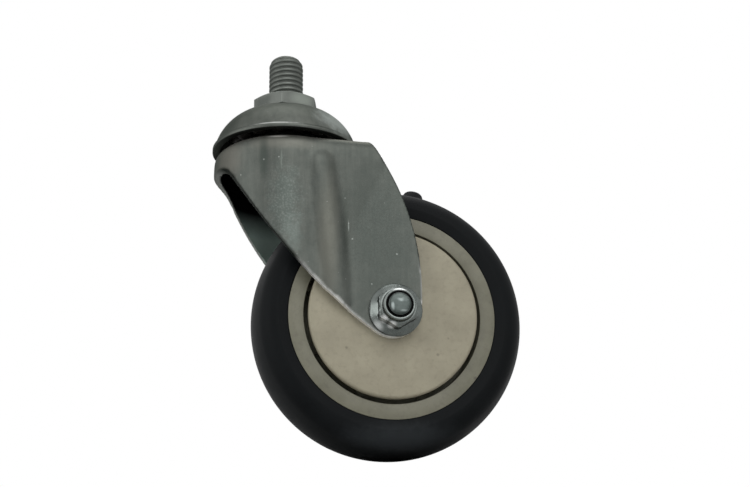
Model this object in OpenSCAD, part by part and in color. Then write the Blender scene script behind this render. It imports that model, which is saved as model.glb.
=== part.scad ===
// Swivel castor with a threaded stem and a 75 mm rubber-tyred wheel.
// Millimetres. The origin is on the stem axis at the seat, the top face of the hex.
// +Z runs up the stem, the wheel trails towards +X and the axle lies along Y.

/* [Stem] */
// Nominal diameter of the stem thread
stem_d = 10; // [9.5:0.5:12]
// Length of the stem above the seat
stem_len = 14; // [10:0.5:40]
// Length of the round tip of the stem
stem_tip_len = 2.6; // [1.5:0.1:2.6]
// Width across the flats of the hex
hex_af = 17.5; // [15:0.5:20]
// Thickness of the hex
hex_h = 4; // [3:0.25:8]
// Drop of the rounding at the corners of the hex
hex_corner_drop = 0.7; // [0.3:0.1:1.2]
// Turn of the hex about the stem, in degrees
hex_turn = -10; // [-30:1:30]
// Diameter of the kingpin under the hex
kingpin_d = 10; // [8:0.5:10.5]
// Height of the riveted tail of the kingpin
rivet_h = 2.4; // [1.5:0.1:4]
// Diameter of the riveted tail
rivet_d = 14.6; // [13:0.2:18]

/* [Swivel head] */
// Diameter of the dome over its lip
dome_d = 42; // [40:0.5:48]
// Height of the dome from its rim to its flat top
dome_h = 12.4; // [11.6:0.2:14]
// Diameter of the flat top of the dome
dome_flat_d = 12.8; // [11.5:0.2:14]
// Wall of the dome
dome_wall = 1.8; // [1.4:0.1:2.2]
// Height of the lip round the rim
lip_h = 1.1; // [0.6:0.1:2]
// How far the lip stands out from the dome
lip_out = 0.35; // [0.2:0.05:0.6]
// Diameter of the balls under the dome
upper_ball_d = 5.5; // [4.5:0.25:6]
// Number of balls under the dome
upper_balls = 14; // [8:1:14]
// Diameter of the balls over the lower race
lower_ball_d = 4; // [3:0.25:4.5]
// Number of balls over the lower race
lower_balls = 13; // [8:1:13]
// Distance from the kingpin to the middle of the lower balls
lower_ball_out = 4.2; // [4.2:0.1:5]
// Running clearance of the balls in their races
race_gap = 0.1; // [0.06:0.01:0.15]

/* [Fork] */
// Thickness of the pressed sheet
sheet = 2; // [1.5:0.1:2.5]
// Gap between the rim of the dome and the top of the fork
dome_gap = 1.2; // [0.8:0.1:2]
// Radius of the round front of the fork at its top
front_r = 20.4; // [19.5:0.1:24]
// Outer radius of the bend between the top and the walls
bend_r = 3.2; // [3:0.1:4]
// Clear width between the two legs
leg_gap = 30; // [29.4:0.2:34]
// Height over which the round front stays upright
upright_h = 6; // [4.5:0.5:10]
// Height over which the round front narrows to the legs
narrow_h = 26; // [16:1:32]
// Radius of the round front below the narrowing
low_front_r = 18.8; // [18:0.1:19.4]
// Distance from the stem axis to the top rear corner of the fork
rear_x = 22; // [21:0.1:26]
// Radius of the rear edge of a leg
rear_edge_r = 72; // [60:1:90]
// Radius of the leg's end round the axle
leg_end_r = 7.8; // [7.4:0.1:10]
// How far the middle of the leg's end lies ahead of the axle
leg_end_fore = 0.7; // [0:0.1:1]
// How far the middle of the leg's end lies above the axle
leg_end_up = 0.6; // [0:0.1:1]
// Height of the closed front above the slot
front_band_h = 6.6; // [5:0.1:9]
// Distance from the stem axis to the corner of the front slot
slot_x = 17.2; // [17:0.1:19]
// Rounding at the corner of the front slot
slot_r = 5; // [3:0.5:8]
// Radius of the front edge of a leg
front_edge_r = 135; // [120:5:200]
// Radius of the pressed rib on each leg
rib_r = 6.8; // [5:0.1:7.4]
// Height of the rib at its top, over the shoulder
rib_top_h = 0.85; // [0.4:0.1:1.2]
// Height of the rib at its foot, over the face of the leg
rib_foot_h = 0.85; // [0.4:0.1:1.2]
// Distance from the top of the fork to the top of the rib
rib_drop = 4.7; // [3.5:0.1:8]
// Distance along the shoulder from its start to the top of the rib
rib_top_run = 6.3; // [4:0.1:9]
// Distance from the stem axis to the foot of the rib
rib_foot_x = 13.1; // [9:0.1:14]

/* [Wheel] */
// Diameter of the wheel over its tyre
wheel_d = 75; // [72:1:78]
// Trail of the axle behind the stem axis
trail = 28.2; // [24:0.1:30]
// Drop of the axle below the seat
axle_drop = 66.4; // [65:0.1:72]
// Width of the tyre
tyre_w = 26; // [25.2:0.2:27.6]
// Radius of the tread across the tyre
crown_r = 25; // [22:0.5:32]
// Radius of the shoulders of the tyre
shoulder_r = 5.5; // [4:0.25:6]
// Height of the moulding nub on the tread
nub_h = 1.7; // [1:0.1:2]
// Diameter of the moulding nub
nub_d = 7.2; // [4:0.2:7.4]
// Place of the nub round the wheel, in degrees up from the rear
nub_turn = 77.5; // [70:0.5:90]
// Distance of the nub from the middle of the tread
nub_y = 3; // [0:0.5:4]
// Outer diameter of the rim
rim_d = 56; // [54:0.5:58]
// Thickness of the rim's band
rim_band = 4; // [3:0.1:4.4]
// Width of the rim
rim_w = 24.6; // [24:0.1:25]
// Thickness of the web
web_t = 5; // [3:0.5:7]
// Number of ribs on each side of the web
web_ribs = 8; // [4:1:12]
// Thickness of a rib of the web
web_rib_t = 2; // [1.5:0.1:3]
// Wall of the hub round a bearing
hub_wall = 3.2; // [2.5:0.1:4]

/* [Thread guards] */
// Running gap between a guard and the rim
guard_gap = 1.2; // [0.8:0.1:1.8]
// Thickness of a guard's disc
guard_t = 2; // [1.5:0.1:2.2]
// Rounding of a guard's edge
guard_edge_r = 0.8; // [0.4:0.1:1.2]
// Gap between a guard's face and the leg
guard_leg_gap = 0.7; // [0.4:0.1:1]
// Diameter of the boss that bears on the leg
guard_boss_d = 13; // [11:0.5:15]

/* [Axle] */
// Diameter of the axle bolt
bolt_d = 6; // [5:0.5:6]
// Width across the flats of the bolt head and nut
nut_af = 10; // [9:0.25:12]
// Thickness of the bolt head
head_h = 4; // [3:0.25:5]
// Height of the nut with its collar
nut_h = 7.2; // [6.4:0.1:8.5]
// Diameter of the nut's flange
flange_d = 14.2; // [13:0.2:15.5]
// Thickness of the flange at its edge
flange_t = 1; // [0.8:0.1:1.4]
// Diameter of the nut's collar
collar_d = 8.6; // [8:0.1:9]
// Height of the nut's collar
collar_h = 2; // [1.6:0.1:2.6]
// Length of the bolt's tip beyond the collar
tip_len = 0.5; // [0.2:0.1:3]
// Clearance round the bolt in the legs
bolt_hole_gap = 0.2; // [0.1:0.05:0.4]
// Clearance of the bolt in its sleeve
sleeve_gap = 0.1; // [0.05:0.01:0.2]

/* [Bearings] */
// Bore of a bearing, which is the diameter of the axle sleeve
bearing_bore = 8; // [8:0.25:9]
// Outer diameter of a bearing
bearing_d = 22; // [21:0.25:24]
// Width of a bearing
bearing_w = 7; // [6:0.25:7.5]
// Diameter of the bearing's balls
bearing_ball_d = 3.96; // [3.5:0.02:4]
// Number of balls in a bearing
bearing_balls = 7; // [6:1:8]
// Wall of a bearing ring beside its groove
ring_wall = 1.9; // [1.6:0.1:2]
// Fit of a bearing on its sleeve
bore_fit = 0.02; // [0.01:0.01:0.04]

/* [Hidden] */

$fn = 96;
// Extra length of a cutting tool past the face that it opens
past = 1;
root2 = sqrt(2);

// The stem's tip is one arc that leaves the thread upright
tip_mid = 2;
tip_arc_r = stem_d / 2 - tip_mid;

// Levels of the swivel head, from the seat down
dome_top = -hex_h;
dome_rim = dome_top - dome_h;
fork_top = dome_rim - dome_gap;

// The dome's section is one arc that leaves its flat top level and ends at the lip
flat_r = dome_flat_d / 2;
dome_run = dome_d / 2 - lip_out - flat_r;
dome_arc_r = (dome_run * dome_run + dome_h * dome_h) / (2 * dome_h);
dome_arc_z = dome_top - dome_arc_r;

// Upper balls lie at 45 degrees between the dome and the hat that is pressed up in the fork.
// A cone at 45 degrees is named by the sum of its radius and height.
kingpin_r = kingpin_d / 2;
upper_ball_out = (dome_arc_r - dome_wall - race_gap - upper_ball_d / 2) / root2;
upper_pitch_r = flat_r + upper_ball_out;
upper_ball_z = dome_arc_z + upper_ball_out;
hat_cone = upper_pitch_r + upper_ball_z - (upper_ball_d / 2 + race_gap / 2) * root2;
hat_inner_cone = hat_cone - sheet * root2;
hat_clear = 3.4;
hat_top = dome_top - dome_wall - hat_clear;
hat_hole_gap = 0.5;

// Lower balls lie at 45 degrees between the hollow of the hat and the cup on the kingpin
lower_pitch_r = kingpin_r + lower_ball_out;
lower_ball_z = hat_inner_cone - (lower_ball_d / 2 + race_gap) * root2 - lower_pitch_r;
cup_cone = lower_pitch_r + lower_ball_z - (lower_ball_d / 2 + race_gap / 2) * root2;
cup_neck = 0.6;
cup_top_r = kingpin_r + cup_neck;
cup_r = lower_pitch_r + lower_ball_d / 2;
cup_edge_t = 1.2;
cup_foot = cup_cone - cup_r - cup_edge_t;

// Axle and legs
axle = [trail, -axle_drop];
leg_end = axle + [-leg_end_fore, leg_end_up];
leg_in = leg_gap / 2;
leg_out = leg_in + sheet;
upright_end = fork_top - upright_h;
narrow_end = upright_end - narrow_h;
fork_foot = -axle_drop - leg_end_r - past;

// Shoulders: flat walls that leave the round front along its tangents and meet the legs past the top rear.
// They are set a hair inside the tangents, so that they cut the round front cleanly.
shoulder_past = 6;
shoulder_set = 0.05;
shoulder_bend_more = 0.3;
shoulder_root = leg_in - bend_r;
shoulder_end = [rear_x + shoulder_past, leg_out];
shoulder_turn = angle_of(shoulder_end) + acos(front_r / norm(shoulder_end));
shoulder_run = sqrt(shoulder_end * shoulder_end - front_r * front_r);

// Rib: a round bar sunk in the wall, from the shoulder to the foot of the leg
rib_half = sqrt(rib_r * rib_r - pow(rib_r - rib_top_h, 2));
rib_top_out = front_r + rib_top_h - rib_r;
rib_top = [rib_top_out * cos(shoulder_turn) + rib_top_run * sin(shoulder_turn),
    rib_top_out * sin(shoulder_turn) - rib_top_run * cos(shoulder_turn), fork_top - rib_drop - rib_half];
rib_foot = [rib_foot_x, leg_out + rib_foot_h - rib_r, -axle_drop];

// Wheel
tyre_r = wheel_d / 2;
rim_r = rim_d / 2;
rim_in_r = rim_r - rim_band;
crown_c = tyre_r - crown_r;
shoulder_y = tyre_w / 2 - shoulder_r;
shoulder_c = crown_c + sqrt(pow(crown_r - shoulder_r, 2) - shoulder_y * shoulder_y);
crown_angle = asin(shoulder_y / (crown_r - shoulder_r));
tyre_key = 1.4;
tyre_key_w = 9;

// Thread guards and bearings, out from the middle of the wheel
guard_r = rim_in_r - guard_gap;
guard_face = leg_in - guard_leg_gap;
guard_back = guard_face - guard_t;
guard_neck = 0.8;
bearing_face = guard_back - guard_neck;
bearing_back = bearing_face - bearing_w;
bearing_mid = bearing_face - bearing_w / 2;
bore_r = bearing_bore / 2;
bearing_r = bearing_d / 2;
bearing_pitch_r = (bore_r + bearing_r) / 2;
groove_r = bearing_ball_d / 2 + race_gap;
inner_ring_r = bore_r + ring_wall;
outer_ring_r = bearing_r - ring_wall;
shield_t = 0.4;
shield_set = 0.3;
shield_gap = 0.3;
cage_t = 0.6;
cage_set = 0.2;
cage_w = bearing_ball_d - 2 * cage_set;
hub_r = bearing_r + hub_wall;
hub_shoulder = 1.4;

// Bolt and nut, out from the legs
bolt_r = bolt_d / 2;
nut_face = leg_out + nut_h;
bolt_tip = nut_face + tip_len;
tip_bevel = 0.6;
flange_cone_h = 1.2;
// The bevel of a hex leaves a round face and widens by its slope along the hex
hex_face_d = 0.95 * nut_af;
hex_slope = 4;
thread_gap = 0.05;
insert_wall = 0.85;
insert_h = 1.3;
insert_set = 0.35;

function along(a, r) = [r * cos(a), r * sin(a)];
function arc(c, r, a0, a1, n) = [for (i = [0 : n]) c + along(a0 + (a1 - a0) * i / n, r)];
function angle_of(v) = atan2(v[1], v[0]);
// Middle of a circle of radius r through point p, that holds a circle of radius q round point c.
// Seen from p towards c, the middle lies to the right for side 1 and to the left for side -1.
function holding_middle(p, c, r, q, side) =
    let (d = norm(c - p), u = (c - p) / d)
    let (a = (r * r - (r - q) * (r - q) + d * d) / (2 * d))
    p + a * u + side * sqrt(r * r - a * a) * [u[1], -u[0]];

// Lays a shape that was drawn about Z along the axle
module on_axle() {
    translate([axle[0], 0, axle[1]]) rotate([90, 0, 0]) children();
}

// Puts a shape of the near side on the far side
module far_side() {
    mirror([0, 1, 0]) children();
}

module ring(r_out, r_in, z0, z1) {
    difference() {
        translate([0, 0, z0]) cylinder(r = r_out, h = z1 - z0);
        translate([0, 0, z0 - past]) cylinder(r = r_in, h = z1 - z0 + 2 * past);
    }
}

module ball_circle(n, pitch_r, d, z) {
    for (i = [0 : n - 1])
        rotate([0, 0, 360 * i / n]) translate([pitch_r, 0, z]) sphere(d = d);
}

// Stem, hex and kingpin, turned from one bar, with the tail riveted over the lower race
module threaded_stem() {
    hex_r = hex_af / sqrt(3);
    face_d = 2 * hex_r - hex_slope * hex_corner_drop;
    color([0.56, 0.57, 0.55]) {
        rotate_extrude() {
            square([stem_d / 2, stem_len - stem_tip_len]);
            square([tip_mid, stem_len]);
            translate([0, stem_len - stem_tip_len]) intersection() {
                translate([tip_mid, 0]) circle(r = tip_arc_r);
                square([stem_d / 2, stem_tip_len]);
            }
        }
        intersection() {
            rotate([0, 0, 90 + hex_turn]) translate([0, 0, -hex_h])
                cylinder(r = hex_r, h = hex_h, $fn = 6);
            translate([0, 0, -hex_h]) cylinder(d1 = face_d + hex_slope * hex_h, d2 = face_d, h = hex_h);
        }
        translate([0, 0, cup_foot]) cylinder(r = kingpin_r, h = -hex_h - cup_foot);
        translate([0, 0, cup_foot - rivet_h])
            cylinder(d1 = rivet_d - 2 * rivet_h, d2 = rivet_d, h = rivet_h);
    }
}

// Section of the dome, as thick as the wall, from the kingpin to the lip
module dome_section() {
    difference() {
        union() {
            intersection() {
                translate([flat_r, dome_arc_z]) circle(r = dome_arc_r);
                translate([flat_r, dome_rim]) square([dome_d, dome_h + past]);
            }
            translate([kingpin_r, dome_rim]) square([flat_r - kingpin_r, dome_h]);
            translate([dome_d / 2 - dome_wall, dome_rim]) square([dome_wall, lip_h]);
        }
        translate([flat_r, dome_arc_z]) circle(r = dome_arc_r - dome_wall);
        translate([0, dome_rim - past]) square([flat_r, dome_h - dome_wall + past]);
    }
}

// Pressed dome: the upper race and the dust cover, fixed under the hex
module swivel_dome() {
    color([0.50, 0.52, 0.50]) rotate_extrude() dome_section();
}

// Cone that carries the lower balls, held on the kingpin by the riveted tail
module lower_race_cup() {
    color([0.42, 0.43, 0.42]) rotate_extrude()
        polygon([[kingpin_r, cup_cone - cup_top_r], [cup_top_r, cup_cone - cup_top_r],
            [cup_r, cup_cone - cup_r], [cup_r, cup_foot], [kingpin_r, cup_foot]]);
}

module lower_swivel_balls() {
    color([0.72, 0.72, 0.70]) ball_circle(lower_balls, lower_pitch_r, lower_ball_d, lower_ball_z);
}

module upper_swivel_balls() {
    color([0.72, 0.72, 0.70]) ball_circle(upper_balls, upper_pitch_r, upper_ball_d, upper_ball_z);
}

// Line of the fork's wall, from its foot to the end of the bend at the top, set in from the outer face
function wall_line(inset, bend) = [
    [low_front_r - inset, fork_foot], [low_front_r - inset, narrow_end], [front_r - inset, upright_end],
    [front_r - inset, fork_top - inset - bend], [front_r - inset - bend, fork_top - inset]];

// Round front and hat, with a race on the hat's outside and one in its hollow
module front_form(inset, cone) {
    top = fork_top - inset;
    peak = hat_top - inset;
    bend = bend_r - inset;
    rotate_extrude() {
        polygon(concat([[0, fork_foot]], wall_line(inset, bend),
            [[cone - top, top], [cone - peak, peak], [0, peak]]));
        translate([front_r - inset - bend, top - bend]) circle(r = bend);
    }
}

// Shoulder on the side at +Y, a slab that carries the wall on from the round front
module side_shoulder(inset) {
    top = fork_top - inset;
    bend = bend_r + shoulder_bend_more - inset;
    rotate([0, 0, shoulder_turn]) rotate([90, 0, 0]) linear_extrude(height = shoulder_run) {
        polygon(concat([[shoulder_root, fork_foot]], wall_line(inset, bend), [[shoulder_root, top]]));
        translate([front_r - inset - bend, top - bend]) circle(r = bend);
    }
}

module shoulder_form(inset) {
    side_shoulder(inset);
    far_side() side_shoulder(inset);
}

// The two legs as one block with a bend along each upper edge
module leg_form(inset) {
    top = fork_top - inset;
    half = leg_out - inset;
    bend = bend_r - inset;
    rotate([90, 0, 90]) linear_extrude(height = axle[0] + leg_end_r + past) {
        translate([-half, fork_foot]) square([2 * half, top - bend - fork_foot]);
        translate([bend - half, fork_foot]) square([2 * (half - bend), top - fork_foot]);
        for (s = [-1, 1]) translate([s * (half - bend), top - bend]) circle(r = bend);
    }
}

// Rib on the leg at +Y, leaning back and into the leg towards its foot
module leg_rib(inset) {
    r = rib_r - inset;
    run = rib_foot - rib_top;
    translate(rib_top) rotate([0, acos(run[2] / norm(run)), atan2(run[1], run[0])])
        rotate_extrude() {
            intersection() {
                circle(r = r);
                translate([0, -r]) square([r, r]);
            }
            square([r, norm(run)]);
        }
}

module rib_form(inset) {
    leg_rib(inset);
    far_side() leg_rib(inset);
}

// Outline of the fork from the side: X across, Z up
module side_outline() {
    rear_top = [rear_x, fork_top];
    rear_mid = holding_middle(rear_top, leg_end, rear_edge_r, leg_end_r, 1);
    slot_top = fork_top - front_band_h;
    edge_mid = holding_middle([-slot_x, slot_top], leg_end, front_edge_r, leg_end_r, -1);
    slot_z = slot_top - slot_r;
    slot_run = sqrt(pow(front_edge_r + slot_r, 2) - pow(edge_mid[1] - slot_z, 2));
    slot_mid = [edge_mid[0] - slot_run, slot_z];
    rear_turn = angle_of(leg_end - rear_mid);
    toe_turn = angle_of(leg_end - edge_mid);
    polygon(concat(
        [[-front_r - past, past], [rear_x, past]],
        arc(rear_mid, rear_edge_r, angle_of(rear_top - rear_mid), rear_turn, 16),
        arc(leg_end, leg_end_r, rear_turn, toe_turn, 16),
        arc(edge_mid, front_edge_r, toe_turn, angle_of(slot_mid - edge_mid), 16),
        arc(slot_mid, slot_r, angle_of(edge_mid - slot_mid), 90, 6),
        [[-front_r - past, slot_top]]));
}

// Fork pressed from one sheet: hat with both races, round front, front slot and two ribbed legs
module fork() {
    color([0.45, 0.47, 0.45]) difference() {
        intersection() {
            difference() {
                union() {
                    front_form(0, hat_cone);
                    shoulder_form(shoulder_set);
                    leg_form(0);
                    rib_form(0);
                }
                front_form(sheet, hat_inner_cone);
                shoulder_form(sheet + shoulder_set);
                leg_form(sheet);
                rib_form(sheet);
            }
            rotate([90, 0, 0]) translate([0, 0, -front_r - past])
                linear_extrude(height = 2 * (front_r + past)) side_outline();
        }
        translate([0, 0, hat_top - sheet - past])
            cylinder(r = kingpin_r + hat_hole_gap, h = sheet + 2 * past);
        on_axle() translate([0, 0, -leg_out - past])
            cylinder(r = bolt_r + bolt_hole_gap, h = 2 * (leg_out + past));
    }
}

// Hex bolt that is the axle, put in from the far side
module axle_bolt() {
    color([0.60, 0.61, 0.60]) on_axle() {
        translate([0, 0, -leg_out]) cylinder(r = bolt_r, h = leg_out + bolt_tip - tip_bevel);
        translate([0, 0, bolt_tip - tip_bevel])
            cylinder(r1 = bolt_r, r2 = bolt_r - tip_bevel, h = tip_bevel);
        translate([0, 0, -leg_out - head_h])
            intersection() {
                cylinder(d = nut_af * 2 / sqrt(3), h = head_h, $fn = 6);
                cylinder(d1 = hex_face_d, d2 = hex_face_d + hex_slope * head_h, h = head_h);
            }
    }
}

// Flanged lock nut with a round collar over its insert
module axle_nut() {
    hex_top = nut_h - collar_h;
    color([0.66, 0.67, 0.66]) on_axle() translate([0, 0, leg_out])
        difference() {
            union() {
                cylinder(d = flange_d, h = flange_t);
                translate([0, 0, flange_t]) cylinder(d1 = flange_d, d2 = nut_af, h = flange_cone_h);
                intersection() {
                    rotate([0, 0, 30]) cylinder(d = nut_af * 2 / sqrt(3), h = hex_top, $fn = 6);
                    cylinder(d1 = hex_face_d + hex_slope * hex_top, d2 = hex_face_d, h = hex_top);
                }
                cylinder(d = collar_d, h = nut_h);
            }
            translate([0, 0, -past]) cylinder(r = bolt_r + thread_gap, h = nut_h + 2 * past);
            translate([0, 0, nut_h - insert_set - insert_h])
                cylinder(r = bolt_r + thread_gap + insert_wall, h = insert_h + insert_set + past);
        }
}

// Ring that grips the thread, pressed in the collar of the nut
module nut_insert() {
    z1 = nut_face - insert_set;
    color([0.10, 0.10, 0.10]) on_axle()
        ring(bolt_r + thread_gap + insert_wall, bolt_r + thread_gap, z1 - insert_h, z1);
}

// Tube from leg to leg that carries the bearings
module axle_sleeve() {
    color([0.55, 0.56, 0.55]) on_axle() ring(bore_r, bolt_r + sleeve_gap, -leg_in, leg_in);
}

// Moulded disc that keeps threads out of the bearing, with a boss between the leg and the bearing
module thread_guard() {
    color([0.60, 0.57, 0.51]) on_axle() difference() {
        union() {
            translate([0, 0, guard_back]) cylinder(r = guard_r, h = guard_t - guard_edge_r);
            translate([0, 0, guard_back]) cylinder(r = guard_r - guard_edge_r, h = guard_t);
            translate([0, 0, guard_face - guard_edge_r])
                rotate_extrude() translate([guard_r - guard_edge_r, 0]) circle(r = guard_edge_r);
            translate([0, 0, guard_face - guard_edge_r])
                cylinder(d = guard_boss_d, h = leg_in - guard_face + guard_edge_r);
            translate([0, 0, bearing_face]) cylinder(r = inner_ring_r, h = guard_t);
        }
        translate([0, 0, bearing_face - past])
            cylinder(r = bore_r + bore_fit, h = leg_in - bearing_face + 2 * past);
    }
}

module near_thread_guard() {
    thread_guard();
}

module far_thread_guard() {
    far_side() thread_guard();
}

// One bearing ring between two radii, with its ball groove
module bearing_ring(r_out, r_in) {
    color([0.62, 0.63, 0.62]) on_axle() difference() {
        ring(r_out, r_in, bearing_back, bearing_face);
        translate([0, 0, bearing_mid])
            rotate_extrude() translate([bearing_pitch_r, 0]) circle(r = groove_r);
    }
}

module bearing_ball_set() {
    color([0.74, 0.74, 0.72]) on_axle()
        ball_circle(bearing_balls, bearing_pitch_r, bearing_ball_d, bearing_mid);
}

// Cage: a thin ring at the pitch circle with a round pocket for each ball
module bearing_cage() {
    color([0.68, 0.62, 0.42]) on_axle() difference() {
        ring(bearing_pitch_r + cage_t / 2, bearing_pitch_r - cage_t / 2,
            bearing_mid - cage_w / 2, bearing_mid + cage_w / 2 + cage_t);
        ball_circle(bearing_balls, bearing_pitch_r, bearing_ball_d + 2 * race_gap, bearing_mid);
    }
}

// Two thin shields that close the gap between the rings
module bearing_shield_pair() {
    color([0.58, 0.59, 0.58]) on_axle()
        for (z0 = [bearing_back + shield_set, bearing_face - shield_set - shield_t])
            ring(outer_ring_r, inner_ring_r + shield_gap, z0, z0 + shield_t);
}

module near_bearing_inner_ring() {
    bearing_ring(inner_ring_r, bore_r + bore_fit);
}

module near_bearing_outer_ring() {
    bearing_ring(bearing_r, outer_ring_r);
}

module near_bearing_balls() {
    bearing_ball_set();
}

module near_bearing_cage() {
    bearing_cage();
}

module near_bearing_shields() {
    bearing_shield_pair();
}

module far_bearing_inner_ring() {
    far_side() near_bearing_inner_ring();
}

module far_bearing_outer_ring() {
    far_side() near_bearing_outer_ring();
}

module far_bearing_balls() {
    far_side() bearing_ball_set();
}

module far_bearing_cage() {
    far_side() bearing_cage();
}

module far_bearing_shields() {
    far_side() bearing_shield_pair();
}

// Moulded wheel centre: band with a key for the tyre, web with ribs, and hub with two bearing seats
module wheel_rim() {
    half = rim_w / 2;
    color([0.51, 0.50, 0.44]) on_axle() {
        ring(rim_r, rim_in_r, -half, half);
        ring(rim_r + tyre_key, rim_r - past, -tyre_key_w / 2, tyre_key_w / 2);
        ring(rim_in_r + past, hub_r - past, -web_t / 2, web_t / 2);
        difference() {
            translate([0, 0, -bearing_face]) cylinder(r = hub_r, h = 2 * bearing_face);
            translate([0, 0, -bearing_face - past])
                cylinder(r = outer_ring_r - hub_shoulder, h = 2 * (bearing_face + past));
            for (s = [-1, 1])
                translate([0, 0, s * (bearing_back + bearing_face + past) / 2])
                    cylinder(r = bearing_r, h = bearing_w + past, center = true);
        }
        for (i = [0 : web_ribs - 1])
            rotate([0, 0, 360 * (i + 0.5) / web_ribs])
                translate([hub_r - past / 2, -web_rib_t / 2, -bearing_back])
                    cube([rim_in_r - hub_r + past, web_rib_t, 2 * bearing_back]);
    }
}

// Section of the tyre: radius across, width up
module tyre_section() {
    half = tyre_w / 2;
    bead = rim_w / 2;
    turn = crown_angle;
    difference() {
        polygon(concat(
            [[rim_r, -bead], [shoulder_c, -half]],
            arc([shoulder_c, -shoulder_y], shoulder_r, -90, -turn, 8),
            arc([crown_c, 0], crown_r, -turn, turn, 14),
            arc([shoulder_c, shoulder_y], shoulder_r, turn, 90, 8),
            [[rim_r, bead]]));
        translate([rim_r - past, -tyre_key_w / 2]) square([tyre_key + past, tyre_key_w]);
    }
}

// Rubber tyre moulded on the rim, with the nub that its mould left on the tread
module tyre() {
    color([0.13, 0.14, 0.16]) on_axle() {
        rotate_extrude() tyre_section();
        rotate([0, 0, nub_turn]) translate([tyre_r - past, 0, nub_y]) rotate([0, 90, 0])
            cylinder(d1 = nub_d, d2 = nub_d - nub_h - past, h = nub_h + past);
    }
}

threaded_stem();
swivel_dome();
lower_race_cup();
lower_swivel_balls();
fork();
upper_swivel_balls();
axle_bolt();
axle_nut();
nut_insert();
axle_sleeve();
near_thread_guard();
far_thread_guard();
near_bearing_inner_ring();
near_bearing_balls();
near_bearing_cage();
far_bearing_inner_ring();
far_bearing_balls();
far_bearing_cage();
wheel_rim();
tyre();
near_bearing_outer_ring();
near_bearing_shields();
far_bearing_outer_ring();
far_bearing_shields();
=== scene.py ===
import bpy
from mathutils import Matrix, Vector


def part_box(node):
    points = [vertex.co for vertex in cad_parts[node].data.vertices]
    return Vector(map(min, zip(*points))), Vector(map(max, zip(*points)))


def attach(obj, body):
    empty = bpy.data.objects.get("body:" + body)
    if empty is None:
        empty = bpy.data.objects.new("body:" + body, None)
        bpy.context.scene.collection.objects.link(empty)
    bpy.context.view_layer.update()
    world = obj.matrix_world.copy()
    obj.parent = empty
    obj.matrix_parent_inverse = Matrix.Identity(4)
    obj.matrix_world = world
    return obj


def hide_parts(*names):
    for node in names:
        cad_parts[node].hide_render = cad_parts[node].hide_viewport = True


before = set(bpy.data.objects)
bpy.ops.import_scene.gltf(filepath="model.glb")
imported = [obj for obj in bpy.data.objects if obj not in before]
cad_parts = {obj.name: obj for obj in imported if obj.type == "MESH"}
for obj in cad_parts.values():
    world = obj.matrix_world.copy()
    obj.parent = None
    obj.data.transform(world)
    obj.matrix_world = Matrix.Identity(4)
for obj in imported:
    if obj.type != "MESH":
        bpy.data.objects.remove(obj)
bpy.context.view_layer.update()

import math

import bmesh
import bpy
from mathutils import Matrix, Vector, bvhtree, kdtree

# Threaded stem, hex and kingpin
# One turned steel piece, zinc plated. The thread is rolled, the hex takes a spanner, and
# the tail is riveted over below the lower race, which holds the castor together.
MM = 0.001


def put(tree, kind, values=(), **settings):
    """Adds a node to a tree, sets it, and fills or links its inputs."""
    made = tree.nodes.new(kind)
    for key, value in settings.items():
        setattr(made, key, value)
    for key, value in dict(values).items():
        if isinstance(value, bpy.types.NodeSocket):
            tree.links.new(value, made.inputs[key])
        else:
            made.inputs[key].default_value = value
    return made


def maths(tree, operation, *terms):
    return put(tree, "ShaderNodeMath", enumerate(terms), operation=operation).outputs[0]


def vector_maths(tree, operation, *terms):
    made = put(tree, "ShaderNodeVectorMath", enumerate(terms), operation=operation)
    return made.outputs["Value" if operation in ("LENGTH", "DOT_PRODUCT") else "Vector"]


def new_group(name, kind, inputs, outputs):
    """A node group with named sockets, and its two ends."""
    tree = bpy.data.node_groups.new(name, kind)
    for way, sockets in (("INPUT", inputs), ("OUTPUT", outputs)):
        for label, socket in sockets:
            tree.interface.new_socket(label, in_out=way, socket_type="NodeSocket" + socket)
    return tree, tree.nodes.new("NodeGroupInput").outputs, tree.nodes.new("NodeGroupOutput").inputs


def plain_mesh(holder):
    """What an object's modifiers make of it, as a mesh of its own."""
    return bpy.data.meshes.new_from_object(holder.evaluated_get(bpy.context.evaluated_depsgraph_get()))


def shown_as(name, mesh):
    """A new object in the scene."""
    piece = bpy.data.objects.new(name, mesh)
    bpy.context.scene.collection.objects.link(piece)
    return piece


def grown(name, tree, values):
    """Runs a geometry tree once and gives what it made as a plain mesh."""
    holder = shown_as(name, bpy.data.meshes.new(name))
    modifier = holder.modifiers.new(name, "NODES")
    modifier.node_group = tree
    for item in tree.interface.items_tree:
        if item.item_type == "SOCKET" and item.in_out == "INPUT" and item.name in values:
            modifier[item.identifier] = values[item.name]
    mesh = plain_mesh(holder)
    holder.modifiers.remove(modifier)
    bpy.data.objects.remove(holder)
    return mesh


def skin(rings, loop=False):
    """A form over rings of points. A single point closes an end, and a loop joins both ends."""
    form = bmesh.new()
    rows = [[form.verts.new(point) for point in ring] for ring in rings]
    for a, b in zip(rows, rows[1:] + rows[:1] if loop else rows[1:]):
        for i in range(max(len(a), len(b))):
            corners = (a[i % len(a)], a[(i + 1) % len(a)], b[(i + 1) % len(b)], b[i % len(b)])
            form.faces.new(list(dict.fromkeys(corners)))
    return form


def as_mesh(form, name):
    """Turns a form into a mesh and frees it."""
    mesh = bpy.data.meshes.new(name)
    form.to_mesh(mesh)
    form.free()
    return mesh


def painted(mesh, material):
    mesh.materials.clear()
    mesh.materials.append(material)


def settled(form, name, material, sharp=34):
    """Closes a form's seams, turns its faces outwards and gives it as an object."""
    bmesh.ops.remove_doubles(form, verts=form.verts, dist=1e-6)
    bmesh.ops.recalc_face_normals(form, faces=form.faces)
    mesh = as_mesh(form, name)
    mesh.polygons.foreach_set("use_smooth", [True] * len(mesh.polygons))
    mesh.set_sharp_from_angle(angle=math.radians(sharp))
    painted(mesh, material)
    return shown_as(name, mesh)


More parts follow.
